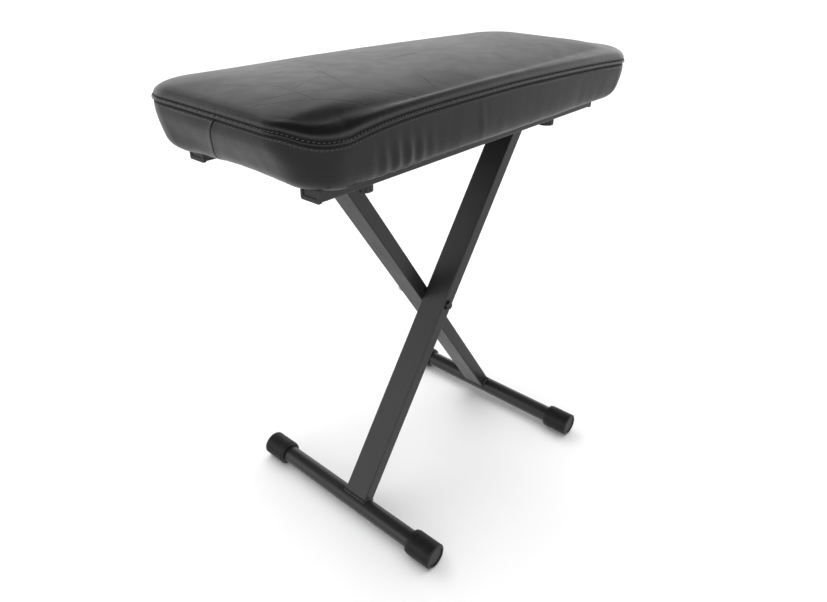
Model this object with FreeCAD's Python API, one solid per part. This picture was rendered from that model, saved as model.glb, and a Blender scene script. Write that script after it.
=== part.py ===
"""Folding X-frame piano bench: padded seat on two rails, carried by two crossed legs.

Millimetres, +Z up. The origin is on the floor under the middle of the seat. X runs along
the seat, Y across it. Leg A stands on the -X foot and is hinged under the +X end of the
seat. Leg B stands on the +X foot and its top slides and clamps under the -X end.
"""
import FreeCAD
import Part
import math
import os

V = FreeCAD.Vector

# Frame: two equal legs that cross near their middle.
FOOT_SPREAD = 172.0        # from the cross pivot to a foot, along X
FOOT_DROP = 253.0          # from the cross pivot down to a foot tube's axis
TBAR_RISE = 243.5          # from the cross pivot up to a T-bar's axis
PIVOT_X = 8.0              # the frame stands a little off the seat's middle
CAP_R = 17.5               # rubber foot cap, which sets the height of the foot tubes
FOOT_Z = CAP_R
PIVOT_Z = FOOT_Z + FOOT_DROP
TBAR_Z = PIVOT_Z + TBAR_RISE
TBAR_SPREAD = FOOT_SPREAD * TBAR_RISE / FOOT_DROP
TBAR_A_X = PIVOT_X + TBAR_SPREAD
TBAR_B_X = PIVOT_X - TBAR_SPREAD
FOOT_A_X = PIVOT_X - FOOT_SPREAD
FOOT_B_X = PIVOT_X + FOOT_SPREAD
LEG_LEAN = math.degrees(math.atan2(FOOT_SPREAD, FOOT_DROP))
LEG_LENGTH = math.hypot(FOOT_SPREAD, FOOT_DROP) + math.hypot(TBAR_SPREAD, TBAR_RISE)

# Leg tubes, side by side across Y.
LEG_WIDE = 38.0
LEG_THIN = 19.0
LEG_WALL = 1.5
LEG_CORNER_R = 2.0
INNER_CORNER_MIN = 0.3     # the smallest radius inside a rectangular tube
LEG_GAP = 1.0              # filled by the thrust washer
LEG_Y = (LEG_WIDE + LEG_GAP) / 2.0

# Foot tubes and their rubber caps.
FOOT_R = 12.7
FOOT_WALL = 1.5
FOOT_HALF = 159.3
CAP_LENGTH = 40.0
CAP_END_WALL = 6.0
CAP_RIBS = 40
CAP_RIB_DEPTH = 0.8
CAP_RIB_TOP = 0.30         # half the width of a rib's top, as a share of the pitch
CAP_RIB_ROOT = 0.42        # half the width of its root
CAP_LIP = 3.0
CAP_CHAMFER = 1.6
CAP_DISC_R = 13.5
CAP_DISC_DEPTH = 1.2

# T-bars across the tops of the legs, with turned stubs in their ends.
TBAR_R = 11.0
TBAR_WALL = 1.5
TBAR_HALF = 46.0
STUB_R = 6.0
STUB_PLUG_LENGTH = 8.0
STUB_REACH = 56.0
STUB_END_GAP = 0.5         # between a stub's end and the bottom of its bore

# Rails under the seat.
RAIL_WIDE = 25.0
RAIL_HIGH = 15.0
RAIL_WALL = 1.5
RAIL_CORNER_R = 1.8
RAIL_OUTER_Y = 101.0
RAIL_BOTTOM_Z = 512.0
RAIL_LEFT_X = -258.5
RAIL_RIGHT_X = 228.0
RAIL_TOP_Z = RAIL_BOTTOM_Z + RAIL_HIGH
RAIL_MIDDLE_Z = RAIL_BOTTOM_Z + RAIL_HIGH / 2.0
RAIL_INNER_Y = RAIL_OUTER_Y - RAIL_WIDE
RAIL_CENTRE_Y = RAIL_OUTER_Y - RAIL_WIDE / 2.0
RAIL_CAP_FLANGE = 3.0
RAIL_CAP_LIP = 1.0         # the flange hangs this far below the tube
RAIL_CAP_RIM = 3.0         # width of the raised frame round the sunk face
RAIL_CAP_WALL = 2.0        # thickness of the hollow plug's walls
RAIL_CAP_PLUG = 14.0
RAIL_CAP_SINK = 0.8
SLOT_HEIGHT = 6.8
SLOT_LEFT_X = -244.0
SLOT_RIGHT_X = 194.0
RAIL_SCREW_X = (-206.0, -92.0, 22.0, 136.0)
RAIL_SCREW_R = 2.4
RAIL_SCREW_HEAD_R = 4.6
RAIL_SCREW_HEAD_H = 2.4
RAIL_SCREW_DEPTH = 9.0     # how far a screw goes into the board
RAIL_SCREW_ACCESS = 0.6    # room round a screw's head as it passes the lower wall

# Blocks that hold the stubs and run along the rails.
BLOCK_X = 38.0
BLOCK_BOTTOM_Z = 503.0
BLOCK_TOP_Z = 526.0
BLOCK_INNER_Y = 46.5
BLOCK_OUTER_Y = 75.6       # just clear of the rail's inner wall
TONGUE_HEIGHT = 6.0
TONGUE_END_Y = 82.0
TONGUE_INSET = 2.0         # shorter than the block at each end
RUNNING_GAP = 0.06         # radial, on every pin that turns in a bore

# Clamp knobs under the blocks.
KNOB_OUT = 11.0            # from the T-bar's axis towards the rails' nearer end
KNOB_Y = 60.5
KNOB_R = 10.5
KNOB_FLUTES = 12
KNOB_FLUTE_R = 1.5
KNOB_FLUTE_REACH = 0.4     # the flutes' centres stand outside the knob's own radius
KNOB_RIM = 2.0             # plain rim below the flutes
KNOB_BOTTOM_Z = 490.0
KNOB_HEIGHT = 10.0
KNOB_NECK_R = 6.5
STUD_R = 4.0
STUD_LOW_Z = KNOB_BOTTOM_Z + 4.0
STUD_TOP_Z = 526.6
KNOB_CLEARANCE = 0.3

# Cross pivot.
BOLT_R = 4.0
BOLT_HEAD_R = 6.2
BOLT_HEAD_H = 4.0
BOLT_HEAD_TAPER = 0.6      # the head's crown, as a share of its rim
BOLT_TIP = 2.0             # thread showing beyond the nut
BORE_MARGIN = 5.0          # the bore's cutting tool reaches this far past the parts
NUT_R = 7.5
NUT_H = 8.0
WASHER_R = 7.4
WASHER_T = 1.2
THRUST_WASHER_R = 11.0
THRUST_GAP = 0.15          # between the thrust washer and leg B
SIDE_CLEARANCE = 0.3       # between leg B and the washer under the nut

# Padded seat: plan half sizes at a few heights, from the tucked lower edge to the crown.
SEAT_BOTTOM_Z = 523.2
SEAT_TOP_Z = 602.0
SEAT_SECTIONS = (
    (SEAT_BOTTOM_Z, 264.0, 109.5, 38.0),
    (526.0, 272.0, 114.0, 41.0),
    (537.0, 289.0, 122.5, 46.0),
    (556.0, 296.0, 126.6, 50.0),
    (578.0, 298.0, 128.0, 52.0),
    (586.0, 295.0, 124.6, 51.0),
    (590.0, 289.2, 119.0, 48.0),
    (594.4, 274.0, 104.0, 44.0),
    (598.1, 253.0, 83.0, 38.0),
    (SEAT_TOP_Z, 200.0, 40.0, 30.0),
)
SEAT_WIDEST = 4            # which of those sections is the widest
COVER_T = 1.2
RECESS_HALF_X = 250.0      # the padding is tucked up inside this outline
RECESS_HALF_Y = 102.4
RECESS_CORNER_R = 24.0
RECESS_MARGIN = 5.0        # the recess's cutting tool reaches this far below the padding
RAIL_POCKET_GAP = 0.5
CLOTH_T = 0.8
CLOTH_MARGIN = 1.0         # between the dust cloth's edge and the padding
BOARD_BOTTOM_Z = RAIL_TOP_Z + CLOTH_T
BOARD_T = 12.0
BOARD_HALF_X = 256.0
BOARD_HALF_Y = 105.0
BOARD_CORNER_R = 36.0


def cylinder_y(radius, y0, y1, x, z):
    """A cylinder along Y between two planes."""
    low = min(y0, y1)
    return Part.makeCylinder(radius, abs(y1 - y0), V(x, low, z), V(0, 1, 0))


def cylinder_z(radius, z0, z1, x, y):
    """A cylinder along Z between two heights."""
    return Part.makeCylinder(radius, z1 - z0, V(x, y, z0), V(0, 0, 1))


def box(x0, x1, y0, y1, z0, z1):
    """A box between six planes, given in any order."""
    low = V(min(x0, x1), min(y0, y1), min(z0, z1))
    return Part.makeBox(abs(x1 - x0), abs(y1 - y0), abs(z1 - z0), low)


def rounded_wire(half_x, half_y, radius, z):
    """A rounded rectangle about the Z axis, in the plane at height z."""
    bend = radius * math.sqrt(0.5)
    corners = ((1, 1), (-1, 1), (-1, -1), (1, -1))
    points = []
    for sx, sy in corners:
        cx = sx * (half_x - radius)
        cy = sy * (half_y - radius)
        middle = V(cx + sx * bend, cy + sy * bend, z)
        on_x = V(sx * half_x, cy, z)
        on_y = V(cx, sy * half_y, z)
        first, last = (on_x, on_y) if sx * sy > 0 else (on_y, on_x)
        points.append((first, middle, last))
    edges = []
    for index, (first, middle, last) in enumerate(points):
        edges.append(Part.Arc(first, middle, last).toShape())
        following = points[(index + 1) % len(points)][0]
        edges.append(Part.LineSegment(last, following).toShape())
    return Part.Wire(edges)


def rounded_slab(half_x, half_y, radius, z0, z1):
    """A flat slab with rounded corners in plan."""
    face = Part.Face(rounded_wire(half_x, half_y, radius, z0))
    return face.extrude(V(0, 0, z1 - z0))


def stack(sections, inset):
    """The seat's outer form, or the same form drawn in by an inset all over."""
    wires = []
    for index, (z, half_x, half_y, radius) in enumerate(sections):
        lift = inset if index == 0 else -inset if index > SEAT_WIDEST else 0.0
        wires.append(rounded_wire(half_x - inset, half_y - inset, radius - inset, z + lift))
    return Part.makeLoft(wires, True, True)


def rectangular_tube(wide, thin, corner, wall, length):
    """A tube along Z from the origin, wide along Y and thin along X, with rounded corners."""
    outer = Part.Face(rounded_wire(thin / 2, wide / 2, corner, 0.0)).extrude(V(0, 0, length))
    inner_corner = max(corner - wall, INNER_CORNER_MIN)
    inner = Part.Face(rounded_wire(thin / 2 - wall, wide / 2 - wall, inner_corner, 0.0))
    return outer.cut(inner.extrude(V(0, 0, length)))


def leg_tube(y, lean, foot_x, top_x, hole_r):
    """A leg tube, coped on to its foot tube and its T-bar and drilled for the pivot bolt."""
    tube = rectangular_tube(LEG_WIDE, LEG_THIN, LEG_CORNER_R, LEG_WALL, LEG_LENGTH)
    tube.rotate(V(0, 0, 0), V(0, 1, 0), lean)
    tube.translate(V(foot_x, y, FOOT_Z))
    tube = tube.cut(cylinder_y(FOOT_R, y - LEG_WIDE, y + LEG_WIDE, foot_x, FOOT_Z))
    tube = tube.cut(cylinder_y(TBAR_R, y - LEG_WIDE, y + LEG_WIDE, top_x, TBAR_Z))
    tube = tube.cut(cylinder_y(hole_r, y - LEG_WIDE, y + LEG_WIDE, PIVOT_X, PIVOT_Z))
    # The coping leaves slivers on the far side of each round tube; the leg is the largest piece.
    return max(tube.Solids, key=lambda solid: solid.Volume)


def round_tube(radius, wall, half, x, z):
    """A round tube along Y, centred on Y = 0."""
    return cylinder_y(radius, -half, half, x, z).cut(cylinder_y(radius - wall, -half, half, x, z))


def ribbed_section(radius, depth, count, y0, y1, x, z):
    """A cylinder along Y with square-topped ribs, one of them flat on the floor."""
    step = 2.0 * math.pi / count
    # Rib tops are flat, so their corners lie a little outside the nominal radius.
    corner_r = radius / math.cos(CAP_RIB_TOP * step)
    root_r = radius - depth
    corners = (
        (-CAP_RIB_TOP, corner_r),
        (CAP_RIB_TOP, corner_r),
        (CAP_RIB_ROOT, root_r),
        (1.0 - CAP_RIB_ROOT, root_r),
    )
    points = []
    for index in range(count):
        middle = -math.pi / 2.0 + index * step
        for share, reach in corners:
            angle = middle + share * step
            points.append(V(x + reach * math.cos(angle), y0, z + reach * math.sin(angle)))
    points.append(points[0])
    return Part.Face(Part.makePolygon(points)).extrude(V(0, y1 - y0, 0))


def foot_cap(side, x):
    """A rubber cap over one end of a foot tube, with ribs, a rounded lip and a sunk disc."""
    outer_y = side * (FOOT_HALF + CAP_END_WALL)
    inner_y = outer_y - side * CAP_LENGTH
    plain_r = CAP_R - CAP_RIB_DEPTH
    rib_start = inner_y + side * CAP_LIP
    rib_end = outer_y - side * CAP_CHAMFER
    cap = cylinder_y(plain_r, inner_y, outer_y - side * CAP_CHAMFER, x, FOOT_Z)
    cap = cap.fuse(ribbed_section(CAP_R, CAP_RIB_DEPTH, CAP_RIBS, rib_start, rib_end, x, FOOT_Z))
    cone = Part.makeCone(plain_r, plain_r - CAP_CHAMFER, CAP_CHAMFER,
                         V(x, outer_y - side * CAP_CHAMFER, FOOT_Z), V(0, side, 0))
    cap = cap.fuse(cone)
    cap = cap.cut(cylinder_y(CAP_DISC_R, outer_y - side * CAP_DISC_DEPTH, outer_y, x, FOOT_Z))
    cap = cap.cut(cylinder_y(FOOT_R, inner_y, side * FOOT_HALF, x, FOOT_Z))
    return cap.removeSplitter()


def pivot_stub(side, x):
    """A turned stub: a plug in the end of the T-bar and a pin that turns in the block."""
    plug = cylinder_y(TBAR_R - TBAR_WALL, side * (TBAR_HALF - STUB_PLUG_LENGTH), side * TBAR_HALF, x, TBAR_Z)
    pin = cylinder_y(STUB_R, side * TBAR_HALF, side * STUB_REACH, x, TBAR_Z)
    return plug.fuse(pin).removeSplitter()


def knob_x(x):
    """Where the knob and stud of the block at x stand, along X."""
    return x + math.copysign(KNOB_OUT, x)


def slide_block(side, x):
    """A block bored for a stub and a clamp stud, with a tongue that runs in the rail's slot."""
    block = box(x - BLOCK_X / 2, x + BLOCK_X / 2, side * BLOCK_INNER_Y, side * BLOCK_OUTER_Y,
                BLOCK_BOTTOM_Z, BLOCK_TOP_Z)
    tongue_half = BLOCK_X / 2 - TONGUE_INSET
    tongue = box(x - tongue_half, x + tongue_half, side * BLOCK_OUTER_Y, side * TONGUE_END_Y,
                 RAIL_MIDDLE_Z - TONGUE_HEIGHT / 2, RAIL_MIDDLE_Z + TONGUE_HEIGHT / 2)
    block = block.fuse(tongue)
    bore_end = STUB_REACH + STUB_END_GAP
    block = block.cut(cylinder_y(STUB_R + RUNNING_GAP, side * BLOCK_INNER_Y, side * bore_end, x, TBAR_Z))
    block = block.cut(cylinder_z(STUD_R + RUNNING_GAP, BLOCK_BOTTOM_Z, BLOCK_TOP_Z, knob_x(x), side * KNOB_Y))
    return block.removeSplitter()


def clamp_knob(side, x):
    """A fluted knob head with a neck, bored for its stud."""
    y = side * KNOB_Y
    top = KNOB_BOTTOM_Z + KNOB_HEIGHT
    head = cylinder_z(KNOB_R, KNOB_BOTTOM_Z, top, x, y)
    for index in range(KNOB_FLUTES):
        angle = 2.0 * math.pi * index / KNOB_FLUTES
        reach = KNOB_R + KNOB_FLUTE_REACH
        flute = cylinder_z(KNOB_FLUTE_R, KNOB_BOTTOM_Z + KNOB_RIM, top,
                           x + reach * math.cos(angle), y + reach * math.sin(angle))
        head = head.cut(flute)
    neck = cylinder_z(KNOB_NECK_R, top, BLOCK_BOTTOM_Z - KNOB_CLEARANCE, x, y)
    knob = head.fuse(neck)
    return knob.cut(cylinder_z(STUD_R, STUD_LOW_Z, BLOCK_BOTTOM_Z, x, y))


def clamp_stud(side, x):
    """The steel stud moulded into a knob, which passes up through the block."""
    return cylinder_z(STUD_R, STUD_LOW_Z, STUD_TOP_Z, x, side * KNOB_Y)


def round_lengthwise(shape, radius):
    """Round the edges of a box that run along X."""
    edges = [edge for edge in shape.Edges if abs(edge.tangentAt(edge.FirstParameter).x) > 0.99]
    return shape.makeFillet(radius, edges)


def rail(side):
    """A flat tube along X, slotted in its inner wall and drilled for its screws."""
    outer = side * RAIL_OUTER_Y
    inner = side * RAIL_INNER_Y
    wall = side * RAIL_WALL
    tube = box(RAIL_LEFT_X, RAIL_RIGHT_X, inner, outer, RAIL_BOTTOM_Z, RAIL_TOP_Z)
    tube = round_lengthwise(tube, RAIL_CORNER_R)
    tube = tube.cut(box(RAIL_LEFT_X, RAIL_RIGHT_X, inner + wall, outer - wall,
                        RAIL_BOTTOM_Z + RAIL_WALL, RAIL_TOP_Z - RAIL_WALL))
    tube = tube.cut(box(SLOT_LEFT_X, SLOT_RIGHT_X, inner, inner + wall,
                        RAIL_MIDDLE_Z - SLOT_HEIGHT / 2, RAIL_MIDDLE_Z + SLOT_HEIGHT / 2))
    for x in RAIL_SCREW_X:
        # The screw's head passes the lower wall and bears on the upper one.
        access_r = RAIL_SCREW_HEAD_R + RAIL_SCREW_ACCESS
        tube = tube.cut(cylinder_z(access_r, RAIL_BOTTOM_Z, RAIL_BOTTOM_Z + RAIL_WALL, x, side * RAIL_CENTRE_Y))
        tube = tube.cut(cylinder_z(RAIL_SCREW_R, RAIL_TOP_Z - RAIL_WALL, RAIL_TOP_Z, x, side * RAIL_CENTRE_Y))
    return tube


def rail_cap(side, end):
    """A moulded plug in a rail's open end: a flange with a sunk face, and a hollow plug."""
    x = RAIL_LEFT_X if end < 0 else RAIL_RIGHT_X
    y = side * RAIL_CENTRE_Y
    face_x = x + end * RAIL_CAP_FLANGE
    half_y = RAIL_WIDE / 2.0
    half_z = RAIL_HIGH / 2.0
    flange = box(x, face_x, y - half_y, y + half_y, RAIL_BOTTOM_Z - RAIL_CAP_LIP, RAIL_TOP_Z)
    flange = round_lengthwise(flange, RAIL_CORNER_R)
    sunk_y = half_y - RAIL_CAP_RIM
    sunk_z = half_z - RAIL_CAP_RIM
    flange = flange.cut(box(face_x - end * RAIL_CAP_SINK, face_x, y - sunk_y, y + sunk_y,
                            RAIL_MIDDLE_Z - sunk_z, RAIL_MIDDLE_Z + sunk_z))
    fit_y = half_y - RAIL_WALL
    fit_z = half_z - RAIL_WALL
    plug = box(x - end * RAIL_CAP_PLUG, x, y - fit_y, y + fit_y, RAIL_MIDDLE_Z - fit_z, RAIL_MIDDLE_Z + fit_z)
    bore_y = fit_y - RAIL_CAP_WALL
    bore_z = fit_z - RAIL_CAP_WALL
    plug = plug.cut(box(x - end * RAIL_CAP_PLUG, x - end * RAIL_CAP_WALL, y - bore_y, y + bore_y,
                        RAIL_MIDDLE_Z - bore_z, RAIL_MIDDLE_Z + bore_z))
    return flange.fuse(plug).removeSplitter()


def rail_screws(side):
    """The pan-head screws that hold one rail to the seat board."""
    screws = []
    seat_z = RAIL_TOP_Z - RAIL_WALL
    for x in RAIL_SCREW_X:
        head = cylinder_z(RAIL_SCREW_HEAD_R, seat_z - RAIL_SCREW_HEAD_H, seat_z, x, side * RAIL_CENTRE_Y)
        shank = cylinder_z(RAIL_SCREW_R, seat_z, BOARD_BOTTOM_Z + RAIL_SCREW_DEPTH, x, side * RAIL_CENTRE_Y)
        screws.append(head.fuse(shank).removeSplitter())
    return Part.makeCompound(screws)


def screw_holes(shape):
    """Cut the rail screws' holes through the seat board or the dust cloth."""
    for side in (-1, 1):
        for x in RAIL_SCREW_X:
            shape = shape.cut(cylinder_z(RAIL_SCREW_R, RAIL_TOP_Z, BOARD_BOTTOM_Z + RAIL_SCREW_DEPTH,
                                         x, side * RAIL_CENTRE_Y))
    return shape


def rail_pockets(shape):
    """Cut the padding's lower edge back where the rails' left ends press into it."""
    for side in (-1, 1):
        pocket = box(RAIL_LEFT_X - RAIL_CAP_FLANGE - RAIL_POCKET_GAP, -RECESS_HALF_X + RECESS_CORNER_R,
                     side * (RAIL_INNER_Y - RAIL_POCKET_GAP), side * (RAIL_OUTER_Y + RAIL_POCKET_GAP),
                     SEAT_BOTTOM_Z - RECESS_MARGIN, RAIL_TOP_Z)
        shape = shape.cut(pocket)
    return shape


def seat_pieces():
    """The seat board, the foam, the sewn cover and the dust cloth beneath."""
    low = SEAT_BOTTOM_Z - RECESS_MARGIN
    recess = rounded_slab(RECESS_HALF_X, RECESS_HALF_Y, RECESS_CORNER_R, low, BOARD_BOTTOM_Z)
    wide_recess = rounded_slab(RECESS_HALF_X + COVER_T, RECESS_HALF_Y + COVER_T, RECESS_CORNER_R + COVER_T,
                               low, BOARD_BOTTOM_Z)
    board = rounded_slab(BOARD_HALF_X, BOARD_HALF_Y, BOARD_CORNER_R, BOARD_BOTTOM_Z, BOARD_BOTTOM_Z + BOARD_T)
    foam = rail_pockets(stack(SEAT_SECTIONS, COVER_T).cut(wide_recess).cut(board))
    cover = rail_pockets(stack(SEAT_SECTIONS, 0.0).cut(recess).cut(foam).cut(board))
    cloth = rounded_slab(RECESS_HALF_X - CLOTH_MARGIN, RECESS_HALF_Y - CLOTH_MARGIN,
                         RECESS_CORNER_R - CLOTH_MARGIN, RAIL_TOP_Z, BOARD_BOTTOM_Z)
    return {
        "seat_board": screw_holes(board),
        "seat_foam": max(foam.Solids, key=lambda solid: solid.Volume),
        "seat_cover": max(cover.Solids, key=lambda solid: solid.Volume),
        "dust_cloth": screw_holes(cloth),
    }


def pivot_pieces():
    """The cross pivot: bolt, thrust washer between the legs, end washers and lock nut."""
    outer = LEG_Y + LEG_WIDE / 2.0
    head_y = -outer - WASHER_T
    nut_washer_y = outer + SIDE_CLEARANCE
    nut_y = nut_washer_y + WASHER_T
    tip_y = nut_y + NUT_H + BOLT_TIP
    shank = cylinder_y(BOLT_R, head_y, tip_y, PIVOT_X, PIVOT_Z)
    crown_r = BOLT_HEAD_R * BOLT_HEAD_TAPER
    head = Part.makeCone(BOLT_HEAD_R, crown_r, BOLT_HEAD_H, V(PIVOT_X, head_y, PIVOT_Z), V(0, -1, 0))
    hexagon = []
    for corner in range(7):
        angle = corner * math.pi / 3
        hexagon.append(V(PIVOT_X + NUT_R * math.cos(angle), nut_y, PIVOT_Z + NUT_R * math.sin(angle)))
    nut = Part.Face(Part.makePolygon(hexagon)).extrude(V(0, NUT_H, 0))
    hole = cylinder_y(BOLT_R, -outer - BORE_MARGIN, tip_y, PIVOT_X, PIVOT_Z)
    near = cylinder_y(WASHER_R, -outer - WASHER_T, -outer, PIVOT_X, PIVOT_Z).cut(hole)
    far = cylinder_y(WASHER_R, nut_washer_y, nut_y, PIVOT_X, PIVOT_Z).cut(hole)
    thrust = cylinder_y(THRUST_WASHER_R, -LEG_GAP / 2, LEG_GAP / 2 - THRUST_GAP, PIVOT_X, PIVOT_Z).cut(hole)
    return {
        "pivot_bolt": shank.fuse(head).removeSplitter(),
        "pivot_nut": nut.cut(hole),
        "pivot_head_washer": near,
        "pivot_nut_washer": far,
        "pivot_thrust_washer": thrust,
    }


def build():
    """Every piece of the bench, by node name."""
    pieces = seat_pieces()
    pieces.update(pivot_pieces())
    legs = (
        ("a", -LEG_Y, LEG_LEAN, FOOT_A_X, TBAR_A_X, BOLT_R),
        ("b", LEG_Y, -LEG_LEAN, FOOT_B_X, TBAR_B_X, BOLT_R + RUNNING_GAP),
    )
    for name, y, tilt, foot_x, top_x, hole_r in legs:
        pieces[f"leg_tube_{name}"] = leg_tube(y, tilt, foot_x, top_x, hole_r)
        pieces[f"foot_tube_{name}"] = round_tube(FOOT_R, FOOT_WALL, FOOT_HALF, foot_x, FOOT_Z)
        pieces[f"t_bar_{name}"] = round_tube(TBAR_R, TBAR_WALL, TBAR_HALF, top_x, TBAR_Z)
        for side, place in ((-1, "near"), (1, "far")):
            pieces[f"foot_cap_{name}_{place}"] = foot_cap(side, foot_x)
            pieces[f"pivot_stub_{name}_{place}"] = pivot_stub(side, top_x)
            pieces[f"slide_block_{name}_{place}"] = slide_block(side, top_x)
            pieces[f"clamp_knob_{name}_{place}"] = clamp_knob(side, knob_x(top_x))
            pieces[f"clamp_stud_{name}_{place}"] = clamp_stud(side, knob_x(top_x))
    for side, place in ((-1, "near"), (1, "far")):
        pieces[f"rail_{place}"] = rail(side)
        pieces[f"rail_screws_{place}"] = rail_screws(side)
        for end, hand in ((-1, "left"), (1, "right")):
            pieces[f"rail_cap_{place}_{hand}"] = rail_cap(side, end)
    return pieces


os.makedirs("parts", exist_ok=True)
for node, shape in build().items():
    box_size = shape.BoundBox
    print(f"{node:24s} solids {len(shape.Solids)} valid {shape.isValid()} volume {shape.Volume:10.0f} "
          f"z {box_size.ZMin:.1f} to {box_size.ZMax:.1f}")
    shape.exportStep(f"parts/{node}.step")
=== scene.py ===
"""A folding bench: a sewn leatherette cushion on a crossed frame of painted steel tube.

Each sub-assembly is a class that builds its own pieces, and each finish is a small frozen class that
makes one material. Lengths are in metres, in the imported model's own frame.
"""

import logging
import math
from dataclasses import dataclass, field
from enum import Enum
from typing import Any, Iterable, Optional, Protocol

import bmesh
import bpy
from mathutils import Matrix, Vector, noise
from mathutils.bvhtree import BVHTree
from mathutils.geometry import barycentric_transform

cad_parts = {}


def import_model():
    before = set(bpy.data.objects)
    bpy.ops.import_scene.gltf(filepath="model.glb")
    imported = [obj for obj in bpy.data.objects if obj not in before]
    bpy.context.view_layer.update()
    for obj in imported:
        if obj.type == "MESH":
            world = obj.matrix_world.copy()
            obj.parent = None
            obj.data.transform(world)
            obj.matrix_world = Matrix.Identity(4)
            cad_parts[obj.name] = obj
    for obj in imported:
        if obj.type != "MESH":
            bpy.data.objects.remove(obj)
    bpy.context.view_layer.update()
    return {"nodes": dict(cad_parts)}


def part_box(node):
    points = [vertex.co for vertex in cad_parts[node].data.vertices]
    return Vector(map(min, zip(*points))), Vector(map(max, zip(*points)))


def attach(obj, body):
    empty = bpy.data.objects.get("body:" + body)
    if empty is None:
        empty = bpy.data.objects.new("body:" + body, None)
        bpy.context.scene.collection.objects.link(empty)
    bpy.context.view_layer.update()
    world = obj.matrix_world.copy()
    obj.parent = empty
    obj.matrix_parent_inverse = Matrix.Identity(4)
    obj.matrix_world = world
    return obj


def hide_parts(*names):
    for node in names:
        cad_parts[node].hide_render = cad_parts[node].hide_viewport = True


FRAME: dict[str, Any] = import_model()
MM = 0.001

Socket = bpy.types.NodeSocket

log = logging.getLogger("bench")


# ---------------------------------------------------------------- finishes


class Recipe:
    """A material in the making: a Principled shader and the nodes that feed it."""

    def __init__(self, name: str) -> None:
        """Start a material with only a shader, an output and object coordinates.

        Args:
            name: the material's name.
        """
        self.material = bpy.data.materials.new(name)
        self.material.use_nodes = True
        self.tree = self.material.node_tree
        self.tree.nodes.clear()
        self.shader = self.add("ShaderNodeBsdfPrincipled")
        output = self.add("ShaderNodeOutputMaterial")
        self.tree.links.new(self.shader.outputs["BSDF"], output.inputs["Surface"])
        self.place = self.add("ShaderNodeTexCoord").outputs["Object"]

    def add(self, kind: str, inputs: Optional[dict[str, Any]] = None, **settings: Any) -> bpy.types.Node:
        """Add a node.

        Args:
            kind: the node's type.
            inputs: values or source sockets, by input name.
            settings: the node's own properties.

        Returns:
            The new node.
        """
        node = self.tree.nodes.new(kind)
        for name, value in settings.items():
            setattr(node, name, value)
        for name, value in (inputs or {}).items():
            self.feed(node.inputs[name], value)
        return node

    def feed(self, socket: Socket, value: Any) -> None:
        """Link a source socket to an input, or set the input's own value.

        Args:
            socket: the input.
            value: a source socket, a number, or a colour.
        """
        if isinstance(value, Socket):
            self.tree.links.new(value, socket)
        else:
            socket.default_value = value

    def stretched(self, scale: tuple[float, float, float], turn: float = 0.0) -> Socket:
        """Object coordinates stretched along the axes.

        Args:
            scale: the factor along X, Y and Z.
            turn: a turn about Z, in radians.

        Returns:
            The stretched coordinates.
        """
        wanted = {"Vector": self.place, "Scale": scale, "Rotation": (0.0, 0.0, turn)}
        return self.add("ShaderNodeMapping", wanted).outputs["Vector"]

    def clouds(self, scale: float, detail: float = 2.0, place: Optional[Socket] = None) -> Socket:
        """Soft noise between 0 and 1.

        Args:
            scale: features per metre.
            detail: how many finer octaves are added.
            place: coordinates other than the plain ones.

        Returns:
            The noise value.
        """
        wanted = {"Vector": place or self.place, "Scale": scale, "Detail": detail}
        return self.add("ShaderNodeTexNoise", wanted).outputs["Fac"]

    def cells(self, scale: float, feature: str = "F1", place: Optional[Socket] = None) -> Socket:
        """Distances in a field of cells.

        Args:
            scale: cells per metre.
            feature: which distance is given.
            place: coordinates other than the plain ones.

        Returns:
            The distance.
        """
        wanted = {"Vector": place or self.place, "Scale": scale}
        return self.add("ShaderNodeTexVoronoi", wanted, feature=feature).outputs["Distance"]

    def span(self, value: Socket, start: float, end: float, low: float, high: float) -> Socket:
        """Map a value from one range on to another, clamped.

        Args:
            value: the source.
            start: the source value that gives low.
            end: the source value that gives high.
            low: the result at start.
            high: the result at end.

        Returns:
            The mapped value.
        """
        wanted = {"Value": value, "From Min": start, "From Max": end, "To Min": low, "To Max": high}
        return self.add("ShaderNodeMapRange", wanted).outputs["Result"]

    def sum_of(self, first: Any, second: Any, operation: str = "ADD") -> Socket:
        """Combine two values.

        Args:
            first: a socket or number.
            second: a socket or number.
            operation: the arithmetic to do.

        Returns:
            The result.
        """
        node = self.add("ShaderNodeMath", operation=operation)
        self.feed(node.inputs[0], first)
        self.feed(node.inputs[1], second)
        return node.outputs["Value"]

    def vectors(self, operation: str, inputs: dict[Any, Any], result: str = "Vector") -> Socket:
        """Do vector arithmetic.

        Args:
            operation: the arithmetic to do.
            inputs: values or source sockets, by input name or place.
            result: the output that is wanted.

        Returns:
            That output.
        """
        return self.add("ShaderNodeVectorMath", inputs, operation=operation).outputs[result]

    def tint(self, factor: Socket, dark: "Colour", pale: "Colour") -> None:
        """Vary the base colour between two colours.

        Args:
            factor: 0 for the dark colour and 1 for the pale one.
            dark: the first colour.
            pale: the second colour.
        """
        ramp = self.add("ShaderNodeValToRGB", {"Fac": factor})
        ramp.color_ramp.elements[0].color = (*dark, 1.0)
        ramp.color_ramp.elements[1].color = (*pale, 1.0)
        self.feed(self.shader.inputs["Base Color"], ramp.outputs["Color"])

    def relief(self, layers: Iterable[tuple[Socket, float, float]]) -> None:
        """Stack bumps on the shader's normal.

        Args:
            layers: height, depth in metres and strength of each, the broadest first.
        """
        below: Optional[Socket] = None
        for height, depth, strength in layers:
            wanted: dict[str, Any] = {"Height": height, "Distance": depth, "Strength": strength}
            if below is not None:
                wanted["Normal"] = below
            below = self.add("ShaderNodeBump", wanted).outputs["Normal"]
        self.feed(self.shader.inputs["Normal"], below)

    def set(self, **values: Any) -> None:
        """Set the shader's own inputs, with underscores for spaces in their names."""
        for name, value in values.items():
            self.feed(self.shader.inputs[name.replace("_", " ")], value)


Colour = tuple[float, float, float]


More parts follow.
